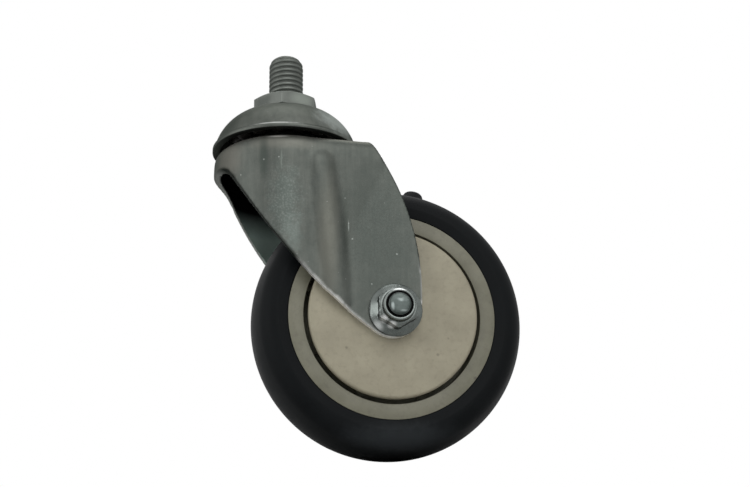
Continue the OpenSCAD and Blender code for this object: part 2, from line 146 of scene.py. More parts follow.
def new_finish(name):
    """A material, its tree, its shader and the place on the piece that it reads."""
    material = bpy.data.materials.new(name)
    material.use_nodes = True
    tree = material.node_tree
    return material, tree, tree.nodes["Principled BSDF"], put(tree, "ShaderNodeTexCoord").outputs["Object"]


def blended(tree, factor, a, b):
    """Mixes two colours."""
    return put(tree, "ShaderNodeMix", {0: factor, 6: a, 7: b}, data_type="RGBA").outputs[2]


def placed(tree, group, values):
    """Puts a shared effect in a material."""
    return put(tree, "ShaderNodeGroup", values, node_tree=group).outputs[0]


# Mottle: cloudy unevenness, drawn out along an axis where it is stretched
mottle, given, shown = new_group("mottle", "ShaderNodeTree",
    [("Vector", "Vector"), ("Stretch", "Vector"), ("Scale", "Float"), ("Detail", "Float"), ("Low", "Float"),
     ("High", "Float")], [("Value", "Float")])
drawn = vector_maths(mottle, "MULTIPLY", given["Vector"], given["Stretch"])
cloud = put(mottle, "ShaderNodeTexNoise",
    {"Vector": drawn, "Scale": given["Scale"], "Detail": given["Detail"], "Roughness": 0.6})
level = put(mottle, "ShaderNodeMapRange",
    {"Value": cloud.outputs[0], "From Min": given["Low"], "From Max": given["High"]})
mottle.links.new(level.outputs[0], shown["Value"])

# Specks: small spots, in a share of the cells
specks, given, shown = new_group("specks", "ShaderNodeTree",
    [("Vector", "Vector"), ("Scale", "Float"), ("Size", "Float"), ("Share", "Float")], [("Mask", "Float")])
cells = put(specks, "ShaderNodeTexVoronoi", {"Vector": given["Vector"], "Scale": given["Scale"]})
chance = put(specks, "ShaderNodeSeparateColor", {0: cells.outputs["Color"]})
kept = maths(specks, "LESS_THAN", chance.outputs[0], given["Share"])
reach = maths(specks, "MULTIPLY", given["Size"], maths(specks, "ADD", chance.outputs[1], 0.3))
full = maths(specks, "MULTIPLY", reach, 0.4)
spot = put(specks, "ShaderNodeMapRange",
    {"Value": cells.outputs["Distance"], "From Min": reach, "From Max": full})
specks.links.new(maths(specks, "MULTIPLY", kept, spot.outputs[0]), shown["Mask"])

# Edge: where a rounded corner turns, paled partly as wear from handling and partly as a painted highlight
edge, given, shown = new_group("edge", "ShaderNodeTree",
    [("Radius", "Float"), ("Gain", "Float")], [("Mask", "Float")])
turned_normal = put(edge, "ShaderNodeBevel", {"Radius": given["Radius"]}, samples=6).outputs[0]
true_normal = put(edge, "ShaderNodeNewGeometry").outputs["Normal"]
bent = maths(edge, "SUBTRACT", 1.0, vector_maths(edge, "DOT_PRODUCT", turned_normal, true_normal))
worn_and_highlit_edge = put(edge, "ShaderNodeClamp", {0: maths(edge, "MULTIPLY", bent, given["Gain"])})
edge.links.new(worn_and_highlit_edge.outputs[0], shown["Mask"])

# Patch: a soft, ragged place on a face, given by its middle and its reach along each axis
patch, given, shown = new_group("tone_patch", "ShaderNodeTree",
    [("Vector", "Vector"), ("Middle", "Vector"), ("Reach", "Vector"), ("Ragged", "Float")],
    [("Mask", "Float")])
offset = vector_maths(patch, "SUBTRACT", given["Vector"], given["Middle"])
away = vector_maths(patch, "LENGTH", vector_maths(patch, "DIVIDE", offset, given["Reach"]))
torn = put(patch, "ShaderNodeTexNoise",
    {"Vector": given["Vector"], "Scale": 420, "Detail": 5, "Roughness": 0.65})
torn = maths(patch, "MULTIPLY", maths(patch, "SUBTRACT", torn.outputs[0], 0.5), given["Ragged"])
soft = put(patch, "ShaderNodeMapRange",
    {"Value": maths(patch, "ADD", away, torn), "From Min": 1.0, "From Max": 0.2},
    interpolation_type="SMOOTHSTEP")
patch.links.new(soft.outputs[0], shown["Mask"])


def clouded(tree, where, scale, detail, low, high, stretch=(1, 1, 1)):
    """A mottle over a piece, from 0 to 1."""
    return placed(tree, mottle, {"Vector": where, "Stretch": stretch, "Scale": scale, "Detail": detail,
        "Low": low, "High": high})


def patch_mask(tree, where, middle, reach, ragged):
    """The mask of one patch, with its middle and its reach in millimetres."""
    return placed(tree, patch, {"Vector": where, "Middle": Vector(middle) * MM, "Reach": Vector(reach) * MM,
        "Ragged": ragged})


def patched(tree, where, colour, patches):
    """Lays patches over a colour. Each is a middle, a reach, how ragged it is, its tint and its amount."""
    for middle, reach, ragged, tint, amount in patches:
        mask = patch_mask(tree, where, middle, reach, ragged)
        colour = blended(tree, maths(tree, "MULTIPLY", mask, amount), colour, tint)
    return colour


def bumped(tree, shader, height, strength, depth):
    """Gives a finish a fine relief, with its depth in millimetres."""
    bump = put(tree, "ShaderNodeBump", {"Strength": strength, "Distance": depth * MM, "Height": height})
    tree.links.new(bump.outputs[0], shader.inputs["Normal"])


ZINC_PALE = (0.34, 0.36, 0.34, 1)


def zinc_finish(name, dark, mid, pale, stretch, rough=0.44, patches=(), flecked=None):
    """Plated steel: cloudy grey, drawn streaks, pale flecks, edges paled by wear and by a painted highlight,
    and placed patches of painted light, painted shade and tone.
    """
    material, tree, shader, where = new_finish(name)
    clouds = clouded(tree, where, 330, 6, 0.3, 0.7)
    streaks = clouded(tree, where, 800, 3, 0.3, 0.7, stretch)
    fine = clouded(tree, where, 1900, 3, 0.25, 0.8)
    flecks = placed(tree, specks, {"Vector": where, "Scale": 1000, "Size": 0.25, "Share": 0.03})
    corners = placed(tree, edge, {"Radius": 0.35 * MM, "Gain": 3.0})
    tone = maths(tree, "ADD", maths(tree, "MULTIPLY", clouds, 0.35), maths(tree, "MULTIPLY", streaks, 0.3))
    tone = maths(tree, "ADD", tone, maths(tree, "MULTIPLY", fine, 0.35))
    # The placed patches lay painted light and painted shade over the grey, and some tone
    colour = patched(tree, where, blended(tree, tone, dark, mid), patches)
    if flecked:
        region = patch_mask(tree, where, *flecked, 0.8)
        dense_flecks = maths(tree, "MULTIPLY", clouded(tree, where, 2000, 6, 0.48, 0.72), region)
        flecks = maths(tree, "MAXIMUM", flecks, maths(tree, "MULTIPLY", dense_flecks, 0.5))
    colour = blended(tree, maths(tree, "MULTIPLY", flecks, 0.5), colour, pale)
    # The rounded corners are paled, partly as wear and partly as a painted highlight
    colour = blended(tree, maths(tree, "MULTIPLY", corners, 0.8), colour, pale)
    tree.links.new(colour, shader.inputs["Base Color"])
    shader.inputs["Metallic"].default_value = 0.85
    shader.inputs["Specular IOR Level"].default_value = 0.3
    shader.inputs["Specular Tint"].default_value = (0.3, 0.31, 0.3, 1)
    worn = maths(tree, "SUBTRACT", maths(tree, "ADD", rough, maths(tree, "MULTIPLY", fine, 0.14)),
        maths(tree, "MULTIPLY", corners, 0.16))
    tree.links.new(worn, shader.inputs["Roughness"])
    bumped(tree, shader, fine, 0.2, 0.05)
    return material


# Painted shade on the hex's left faces and a painted highlight on its right faces; the last patch darkens the
# stem above the hex.
stem_patches = [
    ((-8, -6, -2), (6, 5, 3), 0.4, (0.075, 0.082, 0.075, 1), 0.8),
    ((4, -8, -2), (5, 4, 3), 0.4, (0.215, 0.238, 0.212, 1), 0.7),
    ((0, 0, 8), (12, 12, 8.5), 0.3, (0.098, 0.107, 0.098, 1), 0.6)]
stem_zinc = zinc_finish("stem_zinc", (0.110, 0.120, 0.110, 1), (0.160, 0.170, 0.156, 1), ZINC_PALE,
    (1, 1, 0.3), patches=stem_patches)

STEM_R, ROOT_R, PITCH, STEM_LEN = 5.0, 4.5, 1.5, 14.0
TIP_LEN, TIP_ARC_R, SEAT_NECK_R = 2.6, 3.0, 4.0
COLUMNS, ROWS_PER_TURN = 96, 14
HEX_CORNER = math.radians(80)
HEX_FLATS, HEX_BEVEL_R, HEX_FOOT = 17.5, 8.704, -4.0
KINGPIN_R = 5.0

thread, given, shown = new_group("rolled_thread", "GeometryNodeTree",
    [("Geometry", "Geometry"), ("Outer Radius", "Float"), ("Root Radius", "Float"), ("Pitch", "Float"),
     ("Length", "Float"), ("Tip Length", "Float"), ("Tip Arc", "Float"), ("Neck Radius", "Float"),
     ("First Column", "Float"), ("Columns", "Int"), ("Rows Per Turn", "Int"), ("Material", "Material")],
    [("Geometry", "Geometry")])
turns = maths(thread, "CEIL", maths(thread, "DIVIDE", given["Length"], given["Pitch"]))
turns = maths(thread, "ADD", turns, 2.0)
grid = put(thread, "GeometryNodeMeshGrid",
    {"Size X": 1.0, "Size Y": 1.0, "Vertices X": maths(thread, "ADD", given["Columns"], 1.0),
     "Vertices Y": maths(thread, "ADD", maths(thread, "MULTIPLY", turns, given["Rows Per Turn"]), 1.0)})
flat = put(thread, "ShaderNodeSeparateXYZ", {0: put(thread, "GeometryNodeInputPosition").outputs[0]}).outputs
around = maths(thread, "ADD", flat["X"], 0.5)
climb = maths(thread, "MULTIPLY", maths(thread, "ADD", flat["Y"], 0.5), turns)
turned = maths(thread, "SUBTRACT", maths(thread, "ADD", climb, around), 1.0)
height = maths(thread, "MULTIPLY", given["Pitch"], turned)
height = put(thread, "ShaderNodeClamp", {0: height, 1: 0.0, 2: given["Length"]}).outputs[0]
flank = maths(thread, "ABSOLUTE", maths(thread, "MULTIPLY_ADD", maths(thread, "FRACT", climb), 2.0, -1.0))
tip_start = maths(thread, "SUBTRACT", given["Length"], given["Tip Length"])
rise = maths(thread, "MAXIMUM", maths(thread, "SUBTRACT", height, tip_start), 0.0)


def tip_fall(climbed):
    """How far the round tip lies inside the stem at a height above its start."""
    square = maths(thread, "SUBTRACT", maths(thread, "MULTIPLY", given["Tip Arc"], given["Tip Arc"]),
        maths(thread, "MULTIPLY", climbed, climbed))
    return maths(thread, "SUBTRACT", given["Tip Arc"], maths(thread, "SQRT", square))


above = maths(thread, "SUBTRACT", given["Length"], height)
fade = put(thread, "ShaderNodeMapRange", {"Value": above, "From Min": 0.0, "From Max": 1.2 * MM}).outputs[0]
cut = put(thread, "ShaderNodeMapRange", {"Value": flank, "From Min": 0.3, "From Max": 1.0},
    interpolation_type="SMOOTHSTEP").outputs[0]
depth = maths(thread, "MULTIPLY", maths(thread, "SUBTRACT", given["Outer Radius"], given["Root Radius"]),
    maths(thread, "MULTIPLY", cut, fade))
radius = maths(thread, "SUBTRACT", maths(thread, "SUBTRACT", given["Outer Radius"], tip_fall(rise)), depth)
neck_cone = maths(thread, "ADD", given["Neck Radius"], maths(thread, "MULTIPLY", height, 1.2))
radius = maths(thread, "MINIMUM", radius, neck_cone)
angle = maths(thread, "MULTIPLY_ADD", around, 2 * math.pi, given["First Column"])
point = put(thread, "ShaderNodeCombineXYZ",
    {0: maths(thread, "MULTIPLY", radius, maths(thread, "COSINE", angle)),
     1: maths(thread, "MULTIPLY", radius, maths(thread, "SINE", angle)), 2: height})
wound = put(thread, "GeometryNodeSetPosition", {"Geometry": grid.outputs[0], "Position": point.outputs[0]})
tip_radius = maths(thread, "SUBTRACT", given["Outer Radius"], tip_fall(given["Tip Length"]))
cap = put(thread, "GeometryNodeMeshCircle",
    {"Vertices": given["Columns"], "Radius": tip_radius}, fill_type="NGON")
cap = put(thread, "GeometryNodeTransform",
    {"Geometry": cap.outputs[0],
     "Translation": put(thread, "ShaderNodeCombineXYZ", {2: given["Length"]}).outputs[0],
     "Rotation": put(thread, "ShaderNodeCombineXYZ", {2: given["First Column"]}).outputs[0]})
whole = put(thread, "GeometryNodeJoinGeometry")
thread.links.new(wound.outputs[0], whole.inputs[0])
thread.links.new(cap.outputs[0], whole.inputs[0])
whole = put(thread, "GeometryNodeMergeByDistance", {"Geometry": whole.outputs[0], "Distance": 0.002 * MM})
whole = put(thread, "GeometryNodeRealizeInstances", {"Geometry": whole.outputs[0]})
whole = put(thread, "GeometryNodeSetMaterial", {"Geometry": whole.outputs[0], "Material": given["Material"]})
thread.links.new(whole.outputs[0], shown["Geometry"])

rolled = grown("rolled_thread", thread,
    {"Outer Radius": STEM_R * MM, "Root Radius": ROOT_R * MM, "Pitch": PITCH * MM, "Length": STEM_LEN * MM,
     "Tip Length": TIP_LEN * MM, "Tip Arc": TIP_ARC_R * MM, "Neck Radius": SEAT_NECK_R * MM,
     "First Column": HEX_CORNER, "Columns": COLUMNS, "Rows Per Turn": ROWS_PER_TURN, "Material": stem_zinc})


def hex_radius(angle, flats, first_corner, blunt):
    """Radius of a hex at an angle, with its corners taken off by blunt."""
    off = (angle - first_corner) % math.radians(60) - math.radians(30)
    return min(flats / 2 / math.cos(off), flats / math.sqrt(3) - blunt)


def hex_ring(level, inset, angles):
    """A ring of the stem's hex. Level is a height, or none where the ring follows the bevel of the top."""
    ring = []
    for a in angles:
        r = hex_radius(a, HEX_FLATS, HEX_CORNER, 0.05) - inset
        z = -(r - HEX_BEVEL_R) / 2 if level is None else level
        ring.append(Vector((r * math.cos(a), r * math.sin(a), z)) * MM)
    return ring


def round_ring(r, z, angles):
    return [Vector((r * math.cos(a), r * math.sin(a), z)) * MM for a in angles]


def turn_angles(count, start=0.0):
    """Even angles round a full turn."""
    return [start + 2 * math.pi * i / count for i in range(count)]


CUP_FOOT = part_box("lower_race_cup")[0].z / MM
TAIL_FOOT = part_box("threaded_stem")[0].z / MM
stem_angles = turn_angles(COLUMNS, HEX_CORNER)
seat_rows = [(SEAT_NECK_R, 0), (8.5, 0), (8.65, -0.02)]
hex_rows = [(None, 0.08), (None, 0.02), (-0.95, 0), (HEX_FOOT + 0.1, 0), (HEX_FOOT, 0.1)]
tail_rows = [(KINGPIN_R, HEX_FOOT), (KINGPIN_R, CUP_FOOT), (7.1, CUP_FOOT), (7.3, CUP_FOOT - 0.25),
    (6.9, CUP_FOOT - 1.0), (5.8, TAIL_FOOT + 0.4), (4.9, TAIL_FOOT), (2.2, TAIL_FOOT + 0.1)]
shank_rings = [round_ring(r, z, stem_angles) for r, z in seat_rows]
shank_rings += [hex_ring(level, inset, stem_angles) for level, inset in hex_rows]
shank_rings += [round_ring(r, z, stem_angles) for r, z in tail_rows]
shank = skin(shank_rings + [[Vector((0, 0, (TAIL_FOOT + 0.35) * MM))]])
shank.from_mesh(rolled)
stem = settled(shank, "stem", stem_zinc)
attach(stem, "swivel_head")
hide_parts("threaded_stem")

# Swivel dome
# Sheet steel pressed to a dome, zinc plated, clamped under the hex. Its inside is the upper
# race and its turned-out lip keeps dust from the balls.
DOME_BORE_R, DOME_FLAT_R, DOME_WALL = 5.02, 6.4, 1.8
DOME_ARC = (DOME_FLAT_R, -18.388)
DOME_ARC_R = 14.388
LIP_TOP, LIP_FOOT, LIP_R = -15.3, -16.4, 21.0


def arc_points(middle, r, start, end, steps):
    """Points on an arc, with its angles in degrees."""
    turns = [math.radians(start + (end - start) * i / steps) for i in range(steps + 1)]
    return [(middle[0] + r * math.cos(a), middle[1] + r * math.sin(a)) for a in turns]


dome_profile = [(DOME_BORE_R, HEX_FOOT), (DOME_FLAT_R, HEX_FOOT)]
dome_profile += arc_points(DOME_ARC, DOME_ARC_R, 89, 13.2, 40)
dome_profile += [(20.44, LIP_TOP + 0.06), (20.52, LIP_TOP - 0.02), (20.82, LIP_TOP - 0.02)]
dome_profile += arc_points((LIP_R - 0.2, LIP_TOP - 0.24), 0.2, 80, 0, 3)
dome_profile += arc_points((LIP_R - 0.15, LIP_FOOT + 0.15), 0.15, 0, -90, 4)
dome_profile += arc_points((19.1, LIP_FOOT + 0.25), 0.25, -90, -170, 3)
dome_profile += arc_points(DOME_ARC, DOME_ARC_R - DOME_WALL, 12, 89, 30)
dome_profile += [(DOME_FLAT_R, HEX_FOOT - DOME_WALL), (DOME_BORE_R, HEX_FOOT - DOME_WALL)]

# Painted light and shade on the dome: painted shade over its top round the hex, on its left and at its right
# edge, a painted highlight on its right, painted shade in the crease above the lip with painted highlight
# dashes along it, and painted shade on the lip's front, under the lip and on its left.
dome_light_and_shade = [
    ((0, 0, -4), (17, 17, 7), 0.3, (0.072, 0.080, 0.073, 1), 0.8),
    ((-17, -9, -12), (8, 10, 7), 0.5, (0.062, 0.069, 0.062, 1), 0.8),
    ((14, -13, -11), (10, 11, 6), 0.9, (0.36, 0.39, 0.37, 1), 0.75),
    ((19, -8, -14), (3, 6, 2), 0.6, (0.04, 0.045, 0.04, 1), 0.8),
    ((0, 0, -15.2), (200, 200, 0.42), 0.2, (0.03, 0.033, 0.03, 1), 0.8),
    ((-4, -20, -15), (9, 12, 0.28), 1.2, (0.55, 0.57, 0.55, 1), 0.7),
    ((0, -20, -16.1), (16, 14, 0.4), 0.4, (0.045, 0.05, 0.046, 1), 0.75),
    ((0, 0, -16.6), (200, 200, 0.45), 0.0, (0.003, 0.003, 0.003, 1), 1.0),
    ((-20, -6, -16.2), (6, 13, 0.9), 0.5, (0.075, 0.083, 0.075, 1), 0.8)]
dome_zinc = zinc_finish("dome_zinc", (0.070, 0.078, 0.070, 1), (0.132, 0.139, 0.125, 1), ZINC_PALE,
    (1, 1, 0.3), patches=dome_light_and_shade)
dome_rings = [round_ring(r, z, turn_angles(160)) for r, z in dome_profile]
dome = settled(skin(dome_rings, loop=True), "dome", dome_zinc)
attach(dome, "swivel_head")
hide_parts("swivel_dome")

# Balls and races of the swivel
# Hard steel balls run in grease, in two rings: one under the dome and one in the hollow
# of the fork's hat, on a cone that the riveted tail holds. The grease is painted near black, partly as grease
# and partly as painted shade in the gap under the dome.
grease_and_shade, tree, shader, where = new_finish("grease_and_shade_steel")
smear = clouded(tree, where, 300, 4, 0.3, 0.7)
# Near black, as grease and as painted shade in the gap under the dome
grease_and_gap_shade = blended(tree, smear, (0.012, 0.011, 0.009, 1), (0.05, 0.048, 0.042, 1))
tree.links.new(grease_and_gap_shade, shader.inputs["Base Color"])
shader.inputs["Metallic"].default_value = 0.3
tree.links.new(maths(tree, "MULTIPLY_ADD", smear, 0.25, 0.3), shader.inputs["Roughness"])

ball_ring, given, shown = new_group("ball_ring", "GeometryNodeTree",
    [("Geometry", "Geometry"), ("Count", "Int"), ("Pitch Radius", "Float"), ("Ball Radius", "Float"),
     ("Middle", "Vector"), ("Turn", "Vector"), ("Material", "Material")], [("Geometry", "Geometry")])
circle = put(ball_ring, "GeometryNodeMeshCircle",
    {"Vertices": given["Count"], "Radius": given["Pitch Radius"]})
ball = put(ball_ring, "GeometryNodeMeshUVSphere",
    {"Segments": 32, "Rings": 20, "Radius": given["Ball Radius"]})
balls = put(ball_ring, "GeometryNodeInstanceOnPoints",
    {"Points": circle.outputs[0], "Instance": ball.outputs[0]})
balls = put(ball_ring, "GeometryNodeTransform",
    {"Geometry": balls.outputs[0], "Translation": given["Middle"], "Rotation": given["Turn"]})
balls = put(ball_ring, "GeometryNodeRealizeInstances", {"Geometry": balls.outputs[0]})
balls = put(ball_ring, "GeometryNodeSetMaterial",
    {"Geometry": balls.outputs[0], "Material": given["Material"]})
ball_ring.links.new(balls.outputs[0], shown["Geometry"])


def ball_set(name, count, pitch_r, ball_r, middle, turn, material):
    """A ring of balls as a piece. The radii are in millimetres and the middle is in metres."""
    form = bmesh.new()
    form.from_mesh(grown(name, ball_ring,
        {"Count": count, "Pitch Radius": pitch_r * MM, "Ball Radius": ball_r * MM, "Middle": middle,
         "Turn": turn, "Material": material}))
    return settled(form, name, material)


swivel_rings = [("upper_balls", "upper_swivel_balls", 14, 5.5, "fork_assembly"),
    ("lower_balls", "lower_swivel_balls", 13, 4.0, "swivel_head")]
for name, cad_node, count, ball_d, body in swivel_rings:
    level = sum(corner.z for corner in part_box(cad_node)) / 2
    pitch_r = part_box(cad_node)[1].x / MM - ball_d / 2
    swivel_balls = ball_set(name, count, pitch_r, ball_d / 2, (0, 0, level), (0, 0, 0), grease_and_shade)
    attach(swivel_balls, body)
    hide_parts(cad_node)


def repaint(cad_node, material):
    """Gives a CAD node that stays its finish."""
    painted(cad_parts[cad_node].data, material)


repaint("lower_race_cup", grease_and_shade)

# Fork
# Pressed from one steel sheet and zinc plated: a hat with both races, a round front that is
# cut away to a slot, and two legs, each stiffened by a rib. Its cut edges carry painted highlight and painted
# shade.
# Painted light over the top bend with a painted highlight on it, painted light on the front band under it and
# a painted reflection on its left, a painted dark reflection down the front, a bluish tone with a paler foot,
# the back of the leg darker, an even warm grey over the rib that also paints out the shade on its left flank,
# painted shade in the creases either side of the rib, and two thin pale streaks.
fork_light_shade_and_tone = [
    ((0, 0, -17.6), (60, 60, 2.4), 0.2, (0.25, 0.25, 0.222, 1), 0.85),
    ((0, 0, -17.6), (60, 60, 0.9), 0.2, (0.55, 0.55, 0.50, 1), 0.85),
    ((-3.2, -19, -18.7), (3.8, 5, 0.6), 0.25, (0.95, 0.95, 0.90, 1), 0.9),
    ((-2, -19, -20.5), (14, 6, 3.2), 0.6, (0.150, 0.149, 0.130, 1), 0.6),
    ((-16, -11, -23), (7, 9, 10), 0.4, (0.150, 0.146, 0.128, 1), 0.7),
    ((-7, -19, -25), (1.9, 3, 9), 0.5, (0.048, 0.058, 0.051, 1), 0.7),
    ((-1.5, -19.4, -38), (6, 4, 14), 1.6, (0.096, 0.117, 0.106, 1), 0.5),
    ((1, -18.9, -46), (3.4, 3, 8), 1.6, (0.16, 0.19, 0.175, 1), 0.35),
    ((24, -17, -46), (14, 5, 30), 0.5, (0.060, 0.069, 0.062, 1), 0.7),
    ((10.3, -18.6, -46), (4.2, 2.6, 30), 0.25, (0.120, 0.122, 0.105, 1), 0.85),
    ((15.3, -17.6, -41), (1.3, 2, 17), 0.6, (0.052, 0.060, 0.052, 1), 0.35),
    ((6.6, -18.6, -27), (0.6, 2, 6), 0.9, (0.040, 0.047, 0.040, 1), 0.6),
    ((16, -17.2, -43.2), (0.25, 1.2, 2.4), 1.4, (0.30, 0.32, 0.30, 1), 0.5),
    ((-2.3, -20, -25.6), (0.3, 1.5, 4), 1.4, (0.17, 0.19, 0.17, 1), 0.45)]
fork_zinc = zinc_finish("fork_zinc", (0.056, 0.064, 0.058, 1), (0.112, 0.119, 0.107, 1), ZINC_PALE,
    (1, 1, 0.07), patches=fork_light_shade_and_tone, flecked=((-1.5, -19.4, -38), (8, 4, 17)))


def ramp(tree, value, start, end):
    """Rises from 0 to 1 as a place goes from start to end, in millimetres."""
    return put(tree, "ShaderNodeMapRange",
        {"Value": value, "From Min": start * MM, "From Max": end * MM}).outputs[0]


# The cut edges carry painted light and shade: painted shade at the near side of the slot, a painted
# grey reflection beyond it and a painted highlight down the legs. The hollow has painted shade, black towards
# the hat.
tree = fork_zinc.node_tree
shader = tree.nodes["Principled BSDF"]
plated = shader.inputs["Base Color"].links[0].from_socket
cut_face = put(tree, "ShaderNodeAttribute", attribute_name="cut_face").outputs["Fac"]
place = put(tree, "ShaderNodeSeparateXYZ", {0: put(tree, "ShaderNodeTexCoord").outputs["Object"]}).outputs
beyond = ramp(tree, place["Y"], -9, -3)
cut_light_and_shade = blended(tree, beyond, (0.020, 0.024, 0.020, 1), (0.24, 0.25, 0.235, 1))
cut_light_and_shade = blended(tree, ramp(tree, place["Z"], -52, -58), cut_light_and_shade, (0.98, 0.98, 0.95, 1))
hollow = put(tree, "ShaderNodeAttribute", attribute_name="hollow").outputs["Fac"]
deep = ramp(tree, place["Z"], -37, -29)
hollow_shade = blended(tree, deep, (0.26, 0.33, 0.30, 1), (0.002, 0.002, 0.002, 1))
# Painted shade in the hollow, laid over the plated colour
plated = blended(tree, hollow, plated, hollow_shade)
tree.links.new(blended(tree, cut_face, plated, cut_light_and_shade), shader.inputs["Base Color"])


def clamped(value):
    return min(1.0, max(0.0, value))


# A fine skin is drawn over the CAD fork. It is smoothed to pressed radii, and held crisp at the cut edges
VOXEL, CUT_STEP = 0.385, 0.4
CUT_ANGLE = math.radians(50)
CRISP_REACH, CRISP_FADE = 0.7, 1.2
form = bmesh.new()
form.from_mesh(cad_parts["fork"].data)
bmesh.ops.remove_doubles(form, verts=form.verts, dist=1e-6)
cut_points = []
for line in form.edges:
    if len(line.link_faces) == 2 and line.calc_face_angle_signed() > CUT_ANGLE:
        a, b = (v.co for v in line.verts)
        steps = max(1, int((b - a).length / (CUT_STEP * MM)))
        cut_points += [a.lerp(b, i / steps) for i in range(steps + 1)]
cut_tree = kdtree.KDTree(len(cut_points))
for i, p in enumerate(cut_points):
    cut_tree.insert(p, i)
cut_tree.balance()
form.normal_update()
wall_tree = bvhtree.BVHTree.FromBMesh(form)
guide = settled(form, "fork_guide", fork_zinc)
remesh = guide.modifiers.new("remesh", "REMESH")
remesh.mode = "VOXEL"
remesh.voxel_size = VOXEL * MM
dense = plain_mesh(guide)
guide.modifiers.clear()

fork = shown_as("pressed_fork", dense)
pressed = fork.vertex_groups.new(name="pressed")
sheared = fork.vertex_groups.new(name="sheared")
for v in dense.vertices:
    away = clamped((cut_tree.find(v.co)[2] / MM - CRISP_REACH) / CRISP_FADE)
    pressed.add([v.index], away, "REPLACE")
    sheared.add([v.index], 1 - away, "REPLACE")
for name, rounds, group in (("even", 1, ""), ("press_radii", 30, "pressed")):
    smooth = fork.modifiers.new(name, "SMOOTH")
    smooth.factor = 0.5
    smooth.iterations = rounds
    smooth.vertex_group = group
crisp = fork.modifiers.new("crisp", "SHRINKWRAP")
crisp.target = guide
crisp.vertex_group = "sheared"
mesh = plain_mesh(fork)
fork.modifiers.clear()
fork.vertex_groups.clear()
fork.data = mesh
bpy.data.objects.remove(guide)
mesh.polygons.foreach_set("use_smooth", [True] * len(mesh.polygons))

# Each point of the skin learns how far it is a cut face and how far it faces the hollow
SLOT_TOP, REAR_EDGE = -23.5 * MM, 19 * MM
HOLLOW_RISE = 12
EVEN_PASSES = 2
cut_shares = []
hollow_shares = []
for v in mesh.vertices:
    wall = wall_tree.find_nearest(v.co)[1]
    runs_through = abs(wall.y) < 0.05 and (wall.z < -0.2 or v.co.x > 0)
    below_hat = v.co.z < SLOT_TOP or v.co.x > REAR_EDGE
    cut_shares.append(clamped((0.93 - abs(v.normal.y)) / 0.2) if runs_through and below_hat else 0.0)
    inwards = -(v.normal.x * min(v.co.x, 0.0) + v.normal.y * v.co.y) / MM / HOLLOW_RISE
    hollow_shares.append(clamped(inwards))
for passes in range(EVEN_PASSES):
    sums = list(cut_shares)
    counts = [1] * len(cut_shares)
    for line in mesh.edges:
        a, b = line.vertices
        sums[a] += cut_shares[b]
        sums[b] += cut_shares[a]
        counts[a] += 1
        counts[b] += 1
    cut_shares = [total / count for total, count in zip(sums, counts)]
for name, shares in (("cut_face", cut_shares), ("hollow", hollow_shares)):
    mesh.attributes.new(name, "FLOAT", "POINT").data.foreach_set("value", shares)
painted(mesh, fork_zinc)
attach(fork, "fork_assembly")
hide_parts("fork")

# Wheel rim
# The wheel's centre, moulded in one piece in olive-grey plastic: band, web, ribs and hub.
# Only the edge of its band shows, between the tyre and the thread guard.
RIM_EDGE_R = 0.25


def plastic_finish(name, dark, light, fleck, rough, fleck_scale, fleck_share):
    """Moulded plastic: a faint cloud, stains, small specks of dirt and a satin skin."""
    material, tree, shader, where = new_finish(name)
    clouds = clouded(tree, where, 130, 5, 0.3, 0.7)
    grain = clouded(tree, where, 2600, 2, 0.2, 0.8)
    dirt = placed(tree, specks, {"Vector": where, "Scale": fleck_scale, "Size": 0.3, "Share": fleck_share})
    stains = clouded(tree, where, 700, 5, 0.5, 0.78)
    colour = blended(tree, clouds, dark, light)
    colour = blended(tree, maths(tree, "MULTIPLY", stains, 0.3), colour, fleck)
    colour = blended(tree, maths(tree, "MULTIPLY", dirt, 0.6), colour, fleck)
    tree.links.new(colour, shader.inputs["Base Color"])
    tree.links.new(maths(tree, "MULTIPLY_ADD", grain, 0.12, rough), shader.inputs["Roughness"])
    bumped(tree, shader, grain, 0.15, 0.04)
    return material


def softened(cad_node, name, material, width, sharp=25):
    """A copy of a CAD node with its corners rounded."""
    form = bmesh.new()
    form.from_mesh(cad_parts[cad_node].data)
    bmesh.ops.remove_doubles(form, verts=form.verts, dist=1e-6)
    bmesh.ops.dissolve_limit(form, angle_limit=math.radians(0.4), verts=form.verts, edges=form.edges)
    inner = [e for e in form.edges if len(e.link_faces) == 2]
    corners = [e for e in inner if abs(e.calc_face_angle_signed()) > math.radians(sharp)]
    bmesh.ops.bevel(form, geom=corners, offset=width * MM, segments=2, profile=0.5, affect="EDGES",
        clamp_overlap=True)
    bmesh.ops.triangulate(form, faces=[f for f in form.faces if len(f.verts) > 4])
    return settled(form, name, material)


rim_plastic = plastic_finish("rim_plastic", (0.124, 0.121, 0.083, 1), (0.168, 0.163, 0.119, 1),
    (0.05, 0.045, 0.035, 1), 0.45, 300, 0.05)
rim = softened("wheel_rim", "rim", rim_plastic, RIM_EDGE_R)
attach(rim, "wheel_assembly")
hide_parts("wheel_rim")

# Tyre
# Blue-black rubber, moulded over the rim. Its tread is crowned and its shoulders are round;
# the mould left one small nub on the tread.
AXLE = (28.2, -66.4)
tyre_rubber, tree, shader, where = new_finish("tyre_rubber")
bloom = clouded(tree, where, 90, 6, 0.35, 0.75)
grain = clouded(tree, where, 1500, 3, 0.2, 0.8)
rubber = blended(tree, bloom, (0.0026, 0.0034, 0.0039, 1), (0.0056, 0.0067, 0.0075, 1))
# A painted sheen makes the rubber lighter low on the wheel
sheen = ((30, -13, -101), (30, 6, 8), 0.4, (0.030, 0.034, 0.037, 1), 0.7)
tree.links.new(patched(tree, where, rubber, [sheen]), shader.inputs["Base Color"])
tree.links.new(maths(tree, "MULTIPLY_ADD", bloom, 0.14, 0.52), shader.inputs["Roughness"])
shader.inputs["Specular IOR Level"].default_value = 0.08
bumped(tree, shader, grain, 0.2, 0.05)

